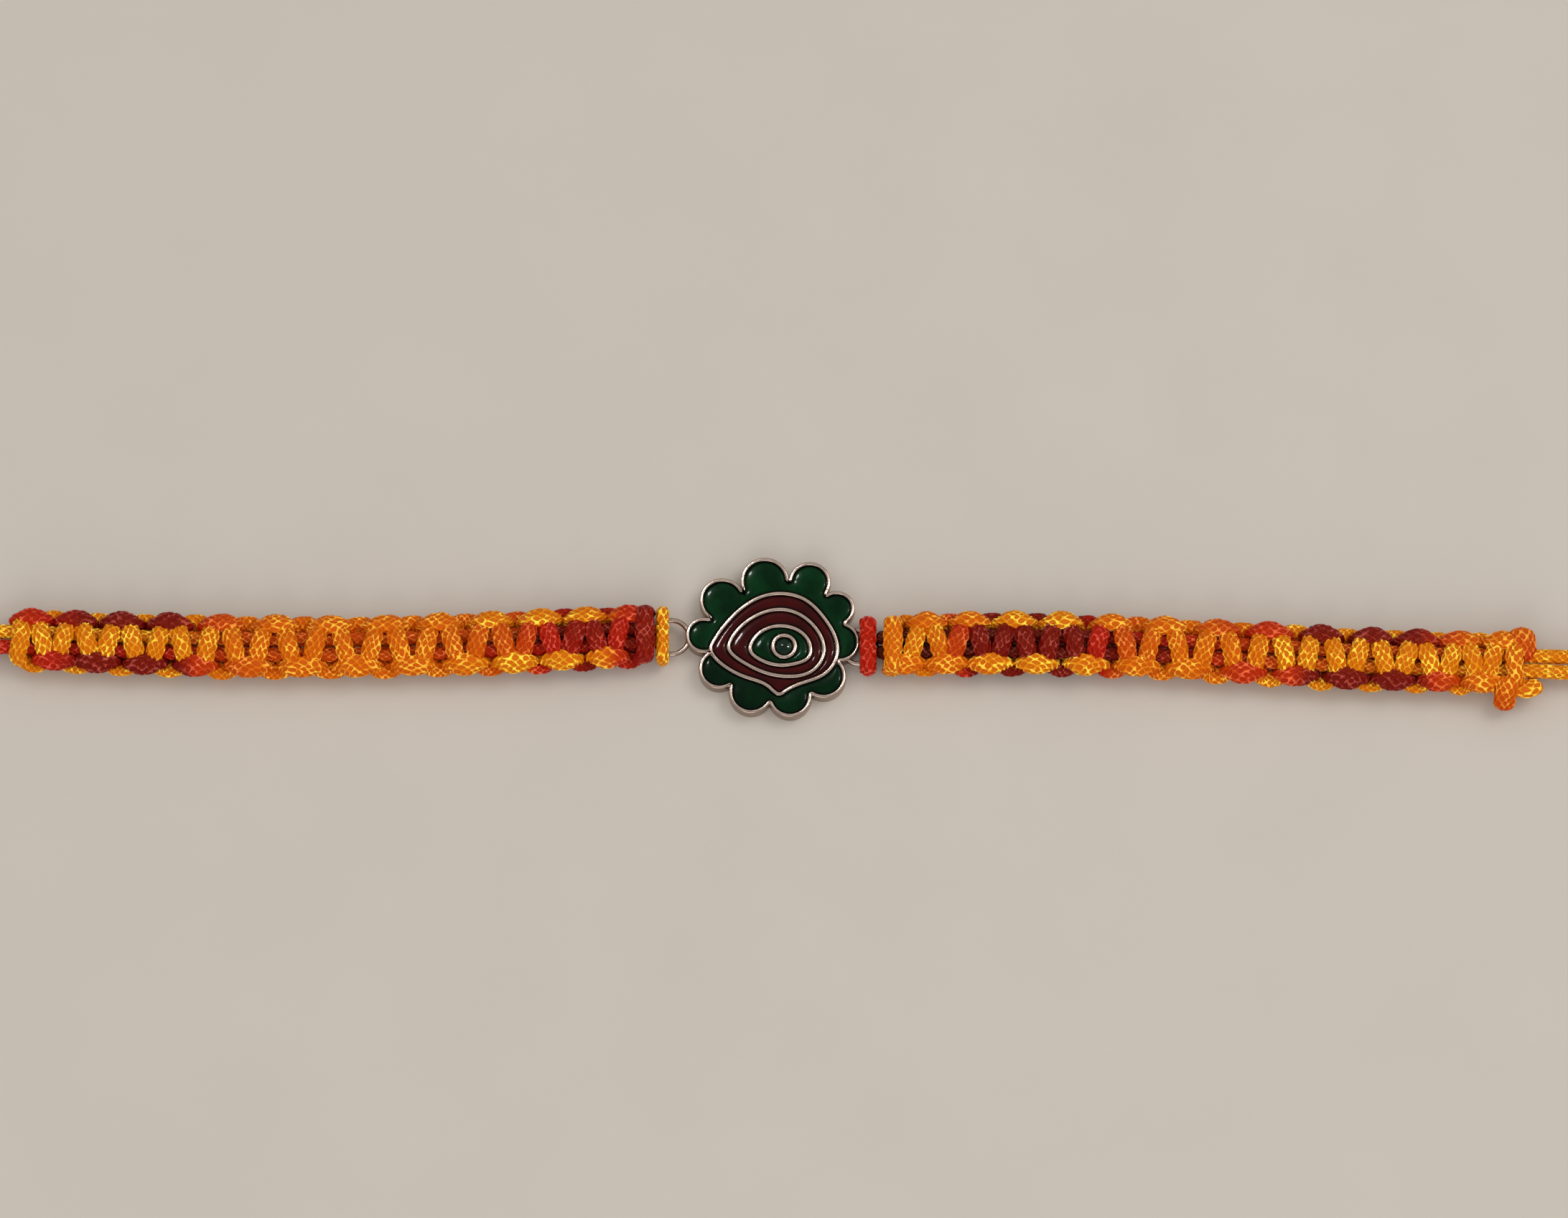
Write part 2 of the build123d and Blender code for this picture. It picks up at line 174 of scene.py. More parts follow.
# Tie cords: the frame's own routes in millimetres, and the dye at each end
TIES = {
    "left_tie_upper": {
        "length": 47.1, "dyes": ("yellow", "amber"),
        "route": [
            (-82.53, 0.49, 2.15), (-87.2, 0.67, 1.75), (-92.8, 1.32, 0.9), (-100.4, 2.57, 0.81),
            (-109.4, 2.87, 0.81), (-118.6, 1.67, 0.82), (-124.8, 0.67, 1.1), (-129.2, 0.43, 1.9),
        ],
    },
    "left_tie_lower": {
        "length": 47.0, "dyes": ("red", "rust"),
        "route": [
            (-82.53, -1.16, 2.15), (-87.0, -1.28, 1.7), (-92.2, -1.93, 0.9), (-99.8, -2.93, 0.81),
            (-109.3, -3.03, 0.81), (-118.7, -1.93, 0.82), (-124.9, -1.28, 1.1), (-129.2, -1.22, 1.9),
        ],
    },
    "right_tie_upper": {
        "length": 47.8, "dyes": ("yellow", "yellow"),
        "route": [
            (82.95, -2.26, 2.15), (87.6, -2.31, 1.75), (93.2, -1.83, 0.9), (101.2, -0.33, 0.81),
            (110.6, -0.03, 0.81), (119.8, -1.43, 0.82), (125.9, -2.63, 1.1), (130.2, -3.05, 1.9),
        ],
    },
    "right_tie_lower": {
        "length": 47.7, "dyes": ("yellow", "amber"),
        "route": [
            (82.95, -3.91, 2.15), (87.4, -4.03, 1.7), (92.8, -4.63, 0.9), (100.6, -6.03, 0.81),
            (110.2, -6.73, 0.81), (119.6, -5.73, 0.82), (125.8, -4.88, 1.1), (130.2, -4.7, 1.9),
        ],
    },
}

# The knot over a pair of ties, in millimetres past their ends. A point of a tail is how far ahead it lies,
# the share of its spread to the side, and its height
KNOT_TURNS = 2.7
KNOT_STEPS = 120
KNOT_START = 1.35
KNOT_RADIUS = 1.3
KNOT_PITCH = 1.3
KNOT_HEIGHT = 2.1
KNOT_CORD_WIDTH = 0.98
TAIL_SPREAD = 1.9
TAIL_ROUTE = [
    (-0.8, 0.0, 1.78), (0.5, 0.0, 1.92), (3.2, 0.0, 1.9), (6.4, 0.3, 1.4), (8.8, 0.75, 0.81),
    (11.2, 1.0, 0.81),
]

# The hitch on each soldered ring, in millimetres: its legs' start and end, the bar's extra width, and the
# dyes of bar and legs. A point of its half route is the share of the way, the distance aside and the height
# The right hitch's legs take maroon darkened as painted shade, where they lie under the bar
HITCHES = {
    "left": {"start": -13.225, "end": -11.897, "y": 0.1, "wider": 0.6, "dyes": ("yellow", "amber")},
    "right": {"start": 11.945, "end": 10.197, "y": -1.0, "wider": 1.05, "dyes": ("red", "maroon_painted_shade")},
}
HITCH_CORD = 0.84
HITCH_BAR_THICKER = 0.5
HITCH_BAR_REACH = 0.3
HITCH_BAR_FADE = 0.1
HITCH_HALF = [
    (0.0, 0.825, 2.1), (0.5, 0.7, 2.1), (1.0, 0.52, 2.1), (1.0, 0.52, 1.3), (1.0, 0.6, 0.6),
    (1.0, 1.5, 0.5), (1.0, 2.5, 0.6), (1.0, 2.62, 1.8), (1.0, 2.4, 3.0), (1.0, 1.4, 3.14),
]

# The right band's last loops and its cut cord end: routes from the last knot, and sizes, in millimetres
LAST_LOBE = {
    "route": [(-0.5, 3.6, 1.7), (-0.2, 2.8, 2.6), (-0.1, 1.2, 2.7), (-0.1, 0.2, 2.0)],
    "width": 3.2, "thickness": 2.3, "dyes": ("amber", "rust"),
}
LAST_LOWER_LOOP = {
    "route": [(-1.9, -1.9, 1.5), (-0.7, -2.7, 2.1), (0.9, -2.9, 2.1), (1.8, -1.9, 1.7)],
    "width": 2.3, "thickness": 1.6, "dyes": ("amber", "yellow"),
}
CUT_END = {
    "route": [(-1.5, -1.6, 3.0), (-1.7, -2.9, 2.9), (-1.9, -3.9, 2.2), (-2.0, -5.0, 1.3)],
    "width": 2.4, "thickness": 1.6, "dyes": ("amber", "orange"),
}
STUB_SIDE = (0.9, 0.1, 0)

# How the silver's and the enamel's meshes are worked: angles in degrees, sizes in millimetres
FLAT_ANGLE = 0.5
SHARP_ANGLE = 60
SMOOTH_ANGLE = 40
LEVEL_WITHIN = 0.001
MERGE_WITHIN = 0.0005
ROUNDING_STEPS = 3
ENAMEL_MESH = 0.13
ENAMEL_TOP = 0.3
WALL_STEEPNESS = 0.5

# Each enamel's name, the lighter colour of its clouds, and its gloss
ENAMELS = {
    "green": ("Green enamel", srgb(8, 54, 25), 0.07),
    "shaded_green": ("Shaded green enamel", srgb(6, 40, 18), 0.07),
    "maroon": ("Maroon enamel", srgb(70, 10, 10), 0.12),
    "dark_green": ("Dark green enamel", srgb(12, 44, 26), 0.3),
}

# The enamel and the slot of each field of the frame, and how round it stands beside the others
ENAMEL_FIELDS = {
    "petals_green_upper": ("green", "green_enamel", 1.0),
    "petals_green_lower": ("shaded_green", "green_enamel", 1.0),
    "outer_band_maroon": ("maroon", "maroon_enamel", 1.0),
    "inner_band_maroon": ("maroon", "maroon_enamel", 1.0),
    "eye_green": ("green", "green_enamel", 1.2),
    "pupil_green": ("dark_green", "dark_green_enamel", 1.9),
}

# The stage: the camera's aim, its film and the lamps' places and sizes in millimetres, the floor and the
# nearest sight in metres, and the room's brightness from below to above
CAMERA_TARGET = (1.163, 3.61, 0.0)
SENSOR_WIDTH = 36.0
FLOOR_SIZE = 16.0
CLIP_START = 0.01
DAYLIGHT = (1.0, 0.985, 0.965)
LAMPS = {
    "key": ((620, 330, 800), 520, "key_power", (1.0, 0.98, 0.955)),
    "left_sparkle": ((-190, 330, 760), 60, "sparkle_power", DAYLIGHT),
    "right_sparkle": ((330, 160, 760), 60, "sparkle_power", DAYLIGHT),
    "front": ((-120, -820, 420), 600, "front_power", DAYLIGHT),
}
ROOM_LEVELS = [(0.0, 0.16), (0.45, 0.54), (0.8, 0.95), (1.0, 0.56)]


class CordSettings(bpy.types.PropertyGroup):
    """Sizes of the knitted cords."""

    working_width: bpy.props.FloatProperty(
        name="Working cord width", description="Width of the flat cord that ties the knots",
        default=2.12 * MM, unit="LENGTH",
    )
    working_thickness: bpy.props.FloatProperty(
        name="Working cord thickness", description="Thickness of the flat cord that ties the knots",
        default=1.24 * MM, unit="LENGTH",
    )
    core_diameter: bpy.props.FloatProperty(
        name="Core cord diameter", description="Diameter of the core cords and the ties",
        default=1.6 * MM, unit="LENGTH",
    )
    stitch_length: bpy.props.FloatProperty(
        name="Stitch length", description="Length of one hole of the knitted net along the cord",
        default=1.0 * MM, unit="LENGTH",
    )
    stitch_width: bpy.props.FloatProperty(
        name="Stitch width", description="Width of one hole of the knitted net round the cord",
        default=0.74 * MM, unit="LENGTH",
    )
    relief: bpy.props.FloatProperty(
        name="Net relief", description="How far the net's strands stand above its holes",
        default=0.13 * MM, unit="LENGTH",
    )
    looseness: bpy.props.FloatProperty(
        name="Looseness", description="How far the hand-tied cords wander from even knots",
        default=0.11 * MM, unit="LENGTH",
    )


class DyeSettings(bpy.types.PropertyGroup):
    """Colours of the space-dyed cords."""

    yellow: bpy.props.FloatVectorProperty(
        name="Yellow", description="Brightest dye", default=srgb(238, 164, 26), subtype="COLOR"
    )
    amber: bpy.props.FloatVectorProperty(
        name="Amber", description="Dye between orange and yellow", default=srgb(232, 138, 18), subtype="COLOR"
    )
    orange: bpy.props.FloatVectorProperty(
        name="Orange", description="Orange dye", default=srgb(214, 98, 16), subtype="COLOR"
    )
    rust: bpy.props.FloatVectorProperty(
        name="Rust", description="Dye between orange and red", default=srgb(200, 58, 16), subtype="COLOR"
    )
    red: bpy.props.FloatVectorProperty(
        name="Red", description="Red dye", default=srgb(186, 26, 14), subtype="COLOR"
    )
    maroon: bpy.props.FloatVectorProperty(
        name="Maroon", description="Dark red dye", default=srgb(126, 6, 14), subtype="COLOR"
    )
    # Maroon darkened as painted shade, for maroon cords that lie in shadow under the bars and the hitch's bar
    maroon_painted_shade: bpy.props.FloatVectorProperty(
        name="Maroon, painted shade", description="Maroon darkened as painted shade", default=srgb(78, 8, 16), subtype="COLOR"
    )


class MetalSettings(bpy.types.PropertyGroup):
    """Finish of the cast silver."""

    colour: bpy.props.FloatVectorProperty(
        name="Silver colour", description="Warm tone of the silver",
        default=srgb(172, 153, 141), subtype="COLOR",
    )
    roughness: bpy.props.FloatProperty(
        name="Roughness", description="How dull the silver is", default=0.2, subtype="FACTOR", min=0, max=1
    )
    edge_round: bpy.props.FloatProperty(
        name="Edge rounding", description="Radius on the edges of the rim and the wire lines",
        default=0.14 * MM, unit="LENGTH",
    )


class EnamelSettings(bpy.types.PropertyGroup):
    """Colours and form of the enamel."""

    green: bpy.props.FloatVectorProperty(
        name="Green", description="Enamel of the petals", default=srgb(3, 32, 12), subtype="COLOR"
    )
    shaded_green: bpy.props.FloatVectorProperty(
        name="Shaded green", description="Enamel of the lower petals",
        default=srgb(3, 25, 10), subtype="COLOR",
    )
    dark_green: bpy.props.FloatVectorProperty(
        name="Dark green", description="Enamel of the pupil", default=srgb(5, 26, 14), subtype="COLOR"
    )
    maroon: bpy.props.FloatVectorProperty(
        name="Maroon", description="Enamel of the two bands round the eye",
        default=srgb(50, 6, 7), subtype="COLOR",
    )
    edge_drop: bpy.props.FloatProperty(
        name="Edge drop", description="How far the enamel falls beside the metal",
        default=0.12 * MM, unit="LENGTH",
    )
    dome_width: bpy.props.FloatProperty(
        name="Dome width", description="How far from the metal the enamel levels out",
        default=1.2 * MM, unit="LENGTH",
    )


class StageSettings(bpy.types.PropertyGroup):
    """Camera, lights and floor."""

    elevation: bpy.props.FloatProperty(
        name="Camera elevation", description="Height of the camera above the floor, as an angle",
        default=math.radians(75), subtype="ANGLE",
    )
    view_width: bpy.props.FloatProperty(
        name="View width", description="Width of floor that the camera sees",
        default=169.3 * MM, unit="LENGTH",
    )
    lens: bpy.props.FloatProperty(name="Lens", description="Focal length in millimetres", default=180.0)
    floor_colour: bpy.props.FloatVectorProperty(
        name="Floor", description="Colour of the pale floor", default=srgb(206, 198, 188), subtype="COLOR"
    )
    key_power: bpy.props.FloatProperty(name="Key light", description="Power of the main light", default=2.3)
    sparkle_power: bpy.props.FloatProperty(
        name="Sparkles", description="Power of the two small lights above the flower", default=1.6
    )
    front_power: bpy.props.FloatProperty(
        name="Front light", description="Power of the light at the camera's side", default=2.0
    )


class Link:
    """A socket in a tree of nodes, so that shader maths reads as an expression."""

    def __init__(self, owner, socket):
        self.owner = owner
        self.socket = socket

    def output(self, name):
        """Another output of the same node."""
        return Link(self.owner, self.socket.node.outputs[name])

    def maths(self, operation, *values):
        return self.owner.node("ShaderNodeMath", {"operation": operation}, dict(enumerate(values)))

    def cosine(self):
        return self.maths("COSINE", self)

    def __add__(self, other):
        return self.maths("ADD", self, other)

    def __sub__(self, other):
        return self.maths("SUBTRACT", self, other)

    def __rsub__(self, other):
        return self.maths("SUBTRACT", other, self)

    def __mul__(self, other):
        return self.maths("MULTIPLY", self, other)

    def __abs__(self):
        return self.maths("ABSOLUTE", self)

    __radd__ = __add__
    __rmul__ = __mul__


class NodeTree:
    """A tree of shader nodes, added one call at a time."""

    def __init__(self, tree):
        self.tree = tree

    def fill(self, socket, value):
        """Links a value into a socket, or writes a constant there."""
        if isinstance(value, Link):
            self.tree.links.new(value.socket, socket)
        elif socket.type == "RGBA" and len(value) == 3:
            socket.default_value = (*value, 1)
        else:
            socket.default_value = value

    def node(self, kind, settings=None, values=None, output=0):
        """Any node: its settings first, then its sockets' values or links."""
        made = self.tree.nodes.new(kind)
        for setting, value in (settings or {}).items():
            if setting == "stops":
                ramp = made.color_ramp.elements
                while len(ramp) < len(value):
                    ramp.new(0.5)
                for element, (position, colour) in zip(ramp, value):
                    element.position = position
                    element.color = (*colour, 1)
            else:
                setattr(made, setting, value)
        for socket, value in (values or {}).items():
            self.fill(made.inputs[socket], value)
        return Link(self, made.outputs[output])

    def ramp(self, fac, stops):
        """A colour from a number by a colour ramp."""
        return self.node("ShaderNodeValToRGB", {"stops": stops}, {"Fac": fac}, "Color")


class Surface(NodeTree):
    """A material with its main shader."""

    def __init__(self, name, **constants):
        self.material = bpy.data.materials.new(name)
        self.material.use_nodes = True
        super().__init__(self.material.node_tree)
        self.shader = self.tree.nodes["Principled BSDF"]
        for socket, value in constants.items():
            self.set(socket.replace("_", " "), value)

    def set(self, socket, value):
        """Feeds one of the shader's own sockets."""
        self.fill(self.shader.inputs[socket], value)

    def attribute(self, name, output):
        """A value that is stored on the mesh."""
        return self.node("ShaderNodeAttribute", {"attribute_name": name}, None, output)

    def noise(self, scale, detail):
        """A noise between 0 and 1, with its scale in lumps per metre."""
        place = self.node("ShaderNodeTexCoord", output="Object")
        values = {"Scale": scale, "Detail": detail, "Vector": place}
        return self.node("ShaderNodeTexNoise", None, values, "Fac")

    def level(self, value, low, high):
        """A number from 0 at low to 1 at high, eased."""
        values = {"Value": value, "From Min": low, "From Max": high}
        return self.node("ShaderNodeMapRange", {"interpolation_type": "SMOOTHSTEP"}, values, "Result")

    def blend(self, mode, factor, first, second):
        """Two colours mixed."""
        settings = {"data_type": "RGBA", "blend_type": mode}
        return self.node("ShaderNodeMix", settings, {0: factor, 6: first, 7: second}, 2)

    def bump(self, height, distance, normal=None):
        """A bump of that height in metres."""
        values = {"Height": height, "Distance": distance}
        if normal:
            values["Normal"] = normal
        return self.node("ShaderNodeBump", None, values, "Normal")


def knitted_cord_material():
    """Space-dyed cord, a knitted net of strands round holes darkened as painted shade, with specks of painted
    highlight on the strands.
    """
    surface = Surface(
        "Knitted cord",
        Specular_IOR_Level=0.28,
        Specular_Tint=(1.0, 0.5, 0.22),
        Subsurface_Weight=0.1,
        Subsurface_Scale=0.4 * MM,
    )
    stitches = surface.node("ShaderNodeTexCoord", output="UV")
    stitches = surface.node("ShaderNodeSeparateXYZ", None, {0: stitches})
    along = stitches * (2 * math.pi)
    around = stitches.output("Y") * (2 * math.pi)
    strand = 1.0 - surface.level(abs(along.cosine() + around.cosine()), 0.35, 1.05)
    # Where the painted highlights go: lumps of brightness broken into small bits
    painted_glint_patch = surface.level(surface.noise(620, 2), 0.38, 0.6)
    painted_glint_speck = surface.level(surface.noise(2100, 1), 0.4, 0.58)
    dye = surface.attribute("dye", "Color")
    # The holes' colour: the dye darkened as painted shade in the net's recesses
    hole = surface.blend("MULTIPLY", 1.0, dye, (0.84, 0.42, 0.2))
    plain = surface.blend("MULTIPLY", 1.0, dye, (1.04, 0.8, 0.36))
    # Painted highlight: the dye lightened and yellowed where the strands would shine
    painted_glint = surface.blend("MULTIPLY", 1.0, dye, (1.45, 2.5, 4.6))
    painted_glint = surface.blend("ADD", 1.0, painted_glint, (0.17, 0.065, 0.035))
    strand_with_painted_glint = surface.blend("MIX", painted_glint_patch * painted_glint_speck, plain, painted_glint)
    surface.set("Base Color", surface.blend("MIX", strand, hole, strand_with_painted_glint))
    surface.set("Roughness", 0.62 - strand * 0.3)
    relief = surface.bump(strand, 0.07 * MM)
    surface.set("Normal", surface.bump(surface.noise(9000, 2), 0.025 * MM, relief))
    return surface.material


def silver_material(settings):
    """Cast silver, a little warm and uneven."""
    surface = Surface("Cast silver", Metallic=1.0)
    worn = [c * 0.86 for c in settings.colour]
    tone = surface.ramp(surface.noise(700, 4), [(0.25, worn), (0.75, tuple(settings.colour))])
    surface.set("Base Color", tone)
    surface.set("Roughness", settings.roughness + (surface.noise(2400, 3) - 0.5) * 0.16)
    surface.set("Normal", surface.bump(surface.noise(1600, 3), 0.02 * MM))
    return surface.material


def enamel_material(name, colour, light, gloss):
    """Glossy enamel in light and deep clouds, with painted shade darkening it beside the metal walls."""
    surface = Surface(name, Roughness=0.2, Specular_IOR_Level=0.02, Coat_Roughness=0.03, Coat_Weight=gloss)
    clouds = surface.ramp(surface.noise(420, 3), [(0.35, colour), (0.75, light)])
    # Painted shade: the enamel darkened near the metal walls, fading out towards the middle of each field
    inside = surface.level(surface.attribute("middle", "Fac"), 0.0, 0.3)
    painted_wall_shade = [c * 0.4 for c in colour]
    surface.set("Base Color", surface.blend("MIX", inside, painted_wall_shade, clouds))
    surface.set("Normal", surface.bump(surface.noise(1100, 2), 0.012 * MM))
    return surface.material


def floor_material(colour):
    """Pale matt floor with the faintest mottle."""
    surface = Surface("Pale floor", Roughness=0.75, Specular_IOR_Level=0.2)
    faint = [c * 0.975 for c in colour]
    surface.set("Base Color", surface.ramp(surface.noise(60, 4), [(0.3, faint), (0.7, tuple(colour))]))
    return surface.material


def made_once(name, make, *values):
    """The material of that name, made at its first use."""
    return bpy.data.materials.get(name) or make(*values)


def cord_setup(context):
    """The cords' sizes, their dyes and their material."""
    scene = context.scene
    return scene.rakhi_cords, scene.rakhi_dyes, made_once("Knitted cord", knitted_cord_material)


def finish_piece(piece, material, node):
    """Gives a piece its material in a slot and its body, and hides the frame's node that it stands for."""
    piece.data.materials.clear()
    piece.data.materials.append(material)
    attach(piece, BODY)
    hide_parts(node)
    return piece


def select_only(piece):
    """Selects one piece and makes it the active one."""
    bpy.ops.object.select_all(action="DESELECT")
    piece.select_set(True)
    bpy.context.view_layer.objects.active = piece


def path_lengths(points):
    """The distance along a row of points to each of them."""
    steps = np.linalg.norm(np.diff(points, axis=0), axis=1)
    return np.concatenate([[0.0], np.cumsum(steps)])


def at_lengths(points, lengths, stops):
    """The places at some distances along a row of points."""
    return np.stack([np.interp(stops, lengths, points[:, axis]) for axis in range(3)], 1)


def unit(vectors):
    """Each row scaled to length one."""
    return vectors / np.linalg.norm(vectors, axis=1)[:, None]


def tangents(points):
    """The direction of a row of points at each of them."""
    return unit(np.gradient(points, axis=0))


def eased(share):
    """A share held between 0 and 1 that starts and stops gently."""
    share = np.clip(share, 0, 1)
    return share * share * (3 - 2 * share)


def carried_sides(points, first_side):
    """A side direction carried along a path without twist."""
    side = np.array(first_side, float)
    sides = []
    for direction in tangents(points):
        side = side - direction * (side @ direction)
        side = side / np.linalg.norm(side)
        sides.append(side)
    return np.array(sides)


def spline_points(route, cords):
    """Evenly spaced points in metres on the smooth spline of a route in millimetres."""
    curve = bpy.data.curves.new("route", "CURVE")
    curve.dimensions = "3D"
    spline = curve.splines.new("NURBS")
    spline.points.add(len(route) - 1)
    for point, place in zip(spline.points, route):
        point.co = (*(Vector(place) * MM), 1)
    spline.order_u = SPLINE_ORDER
    spline.use_endpoint_u = True
    spline.resolution_u = SPLINE_STEPS
    holder = bpy.data.objects.new("route", curve)
    mesh = bpy.data.meshes.new_from_object(holder)
    fine = np.array([vertex.co for vertex in mesh.vertices], float)
    bpy.data.meshes.remove(mesh)
    bpy.data.objects.remove(holder)
    bpy.data.curves.remove(curve)
    lengths = path_lengths(fine)
    steps = round(lengths[-1] / cords.stitch_length * TIE_RINGS)
    return at_lengths(fine, lengths, np.linspace(0, lengths[-1], steps + 1))


def wander(places, seed):
    """A smooth uneven wave between about -1 and 1, different for each seed."""
    total = sum(weight * np.sin(rate * places + seed * (SEED_STEP + rate)) for weight, rate in UNEVEN_WAVES)
    return total / sum(weight for weight, _ in UNEVEN_WAVES)


def uneven(kind, turns, side):
    """One kind of a working cord's unevenness at each of its turns."""
    rate, strength, seed = UNEVENNESS[kind]
    return strength * wander(turns * rate, side + seed)


def dye_along(dyes, table, places):
    """The colour at each place, in millimetres, of a cord's table of dyes."""
    stops = [stop for stop, _ in table]
    colours = np.array([tuple(getattr(dyes, dye)) for _, dye in table])
    return np.stack([np.interp(places, stops, colours[:, channel]) for channel in range(3)], 1)


def sway(turn, along, strength, waves, twist):
    """A small wave round and along a cord."""
    return strength * np.sin(waves * turn + twist * along)


def net_places(lengths, girth, facets, cords):
    """Where each point of a cord lies in its net, in stitches along and around."""
    turn = np.linspace(0, 2 * math.pi, facets + 1)[None, :]
    along = (lengths / cords.stitch_length)[:, None]
    columns = round(girth / cords.stitch_width)
    net_along = along + sway(turn, along, *SWAY_ALONG)
    net_around = turn / (2 * math.pi) * columns + sway(turn, along, *SWAY_AROUND)
    return net_along, net_around


def net_height(along, around):
    """How high a knitted net stands, from 0 in an oval hole to 1 on a strand."""
    weave = np.cos(2 * math.pi * along) + np.cos(2 * math.pi * around)
    return eased((1.0 - np.abs(weave)) / STRAND_SLOPE)


def end_caps(lengths, thicknesses):
    """How full a cord is at each ring, falling off roundly to its two ends."""
    reach = np.minimum(lengths, lengths[-1] - lengths) / (0.5 * thicknesses)
    return np.sqrt(np.clip(1 - (1 - np.clip(reach, SMALLEST_END, 1)) ** 2, 0, 1))


def oval(facets, width, thickness):
    """The angles of points that lie evenly round an oval."""
    fine = np.linspace(0, 2 * math.pi, OVAL_STEPS + 1)
    ring = np.stack([width * np.cos(fine), thickness * np.sin(fine)], 1)
    lengths = path_lengths(ring)
    return np.interp(np.arange(facets) / facets * lengths[-1], lengths, fine)


def tube_points(centres, sides, widths, thicknesses, relief):
    """The points of an oval tube, each moved by its relief square to the surface."""
    ahead = tangents(centres)
    sides = unit(sides - ahead * np.sum(sides * ahead, axis=1)[:, None])
    ups = np.cross(ahead, sides)
    angles = oval(relief.shape[1], widths.mean(), thicknesses.mean())
    cosines, sines = np.cos(angles), np.sin(angles)
    out_side = cosines / widths[:, None]
    out_up = sines / thicknesses[:, None]
    size = np.hypot(out_side, out_up)
    local_side = widths[:, None] / 2 * cosines + relief * out_side / size
    local_up = thicknesses[:, None] / 2 * sines + relief * out_up / size
    points = centres[:, None] + sides[:, None] * local_side[..., None] + ups[:, None] * local_up[..., None]
    return points.reshape(-1, 3)


def tube_faces(rings, facets):
    """The four-sided faces of a tube, and its two end faces."""
    ring, step = np.meshgrid(np.arange(rings - 1), np.arange(facets), indexing="ij")
    after = (step + 1) % facets
    near, far = ring * facets, (ring + 1) * facets
    quads = np.stack([near + step, near + after, far + after, far + step], -1).reshape(-1, 4)
    start_cap = list(range(facets - 1, -1, -1))
    end_cap = [(rings - 1) * facets + index for index in range(facets)]
    return quads.tolist() + [start_cap, end_cap]


def knit_mesh(name, centres, sides, widths, thicknesses, colours, cords, facets, round_ends=True):
    """A knitted cord: an oval tube along its centres, with the net's relief, stitch UVs and dye."""
    lengths = path_lengths(centres)
    if round_ends:
        caps = end_caps(lengths, thicknesses)
        widths, thicknesses = widths * caps, thicknesses * caps
    girth = math.pi * (widths.mean() + thicknesses.mean()) / 2
    net = net_places(lengths, girth, facets, cords)
    fullness = np.clip(thicknesses / thicknesses.max(), 0, 1)[:, None]
    relief = (net_height(*net)[:, :-1] - 1) * cords.relief * fullness
    vertices = tube_points(centres, sides, widths, thicknesses, relief)
    mesh = bpy.data.meshes.new(name)
    mesh.from_pydata(vertices.tolist(), [], tube_faces(len(centres), facets))
    places = np.stack(net, -1)
    corners = [places[:-1, :-1], places[:-1, 1:], places[1:, 1:], places[1:, :-1]]
    uv = np.concatenate([np.stack(corners, 2).reshape(-1, 2), np.zeros((2 * facets, 2))])
    layer = mesh.uv_layers.new(name="stitches")
    layer.data.foreach_set("uv", uv.astype(np.float32).ravel())
    paint = mesh.color_attributes.new("dye", "FLOAT_COLOR", "POINT")
    rgba = np.concatenate([np.repeat(colours, facets, axis=0), np.ones((len(vertices), 1))], 1)
    paint.data.foreach_set("color", rgba.astype(np.float32).ravel())
    mesh.shade_smooth()
    mesh.update()
    return mesh


def round_cord_mesh(name, centres, colours, cords, round_ends=True):
    """A round knitted cord of the core's thickness."""
    size = np.full(len(centres), cords.core_diameter)
    sides = carried_sides(centres, (0, 1, 0))
    return knit_mesh(name, centres, sides, size, size, colours, cords, TIE_POINTS, round_ends)


def link_piece(name, data):
    """An object at the origin that holds a mesh, a lamp or a camera."""
    piece = bpy.data.objects.new(name, data)
    bpy.context.scene.collection.objects.link(piece)
    return piece


def aimed(name, data, place, way):
    """A camera or a lamp at its place, looking that way."""
    thing = link_piece(name, data)
    thing.location = place
    thing.rotation_mode = "QUATERNION"
    thing.rotation_quaternion = way.to_track_quat("-Z", "Y")
    return thing


def joined(name, meshes):
    """One mesh object from several meshes."""
    parts = [link_piece(f"{name}_{index}", mesh) for index, mesh in enumerate(meshes)]
    select_only(parts[0])
    for part in parts:
        part.select_set(True)
    bpy.ops.object.join()
    parts[0].name = name
    parts[0].data.name = name
    return parts[0]


def along_band(share, length):
    """Where a share of a band's knots ends: they are drawn tighter towards its two ends."""
    return length * (share - END_TIGHTNESS * np.sin(2 * math.pi * share) / (2 * math.pi))


def working_cord_points(turns, side, band):
    """The middle of a working cord at each turn, in the band's own millimetres."""
    length, bars = band["length"], band["bars"]
    bar = turns / math.pi
    along = along_band(np.clip(bar / bars, 0, 1), length) + LOOP_LEAN * length / bars * np.sin(2 * turns)
    swing = np.cos(turns)
    across = -side * BAND_REACH * swing * (1 + SWING_SQUARENESS * (1 - swing**2))
    up = -side * BAND_RISE * np.cos(2 * turns) * (1 - LOOP_SINK * swing**2)
    if side > 0:
        first = eased((FIRST_BAR_END - bar) / FREE_BAR_FADE)
        last = eased(bar - (bars - 1)) * eased((bars - FREE_BAR_FADE - bar) / FREE_BAR_FADE)
        held = eased((bar - bars + LAST_BAR_HOLD) / FREE_BAR_FADE)
        free = np.maximum(first, last)
        along += (band["first_bar"] - along) * first
        along += (along_band(1 - 0.5 / bars, length) - along) * held
        across *= 1 + FREE_BAR_REACH * free
        up += (BAND_RISE * (1 - FREE_BAR_DIP * swing**6) - up) * free
    return np.stack([along, across, up], 1)


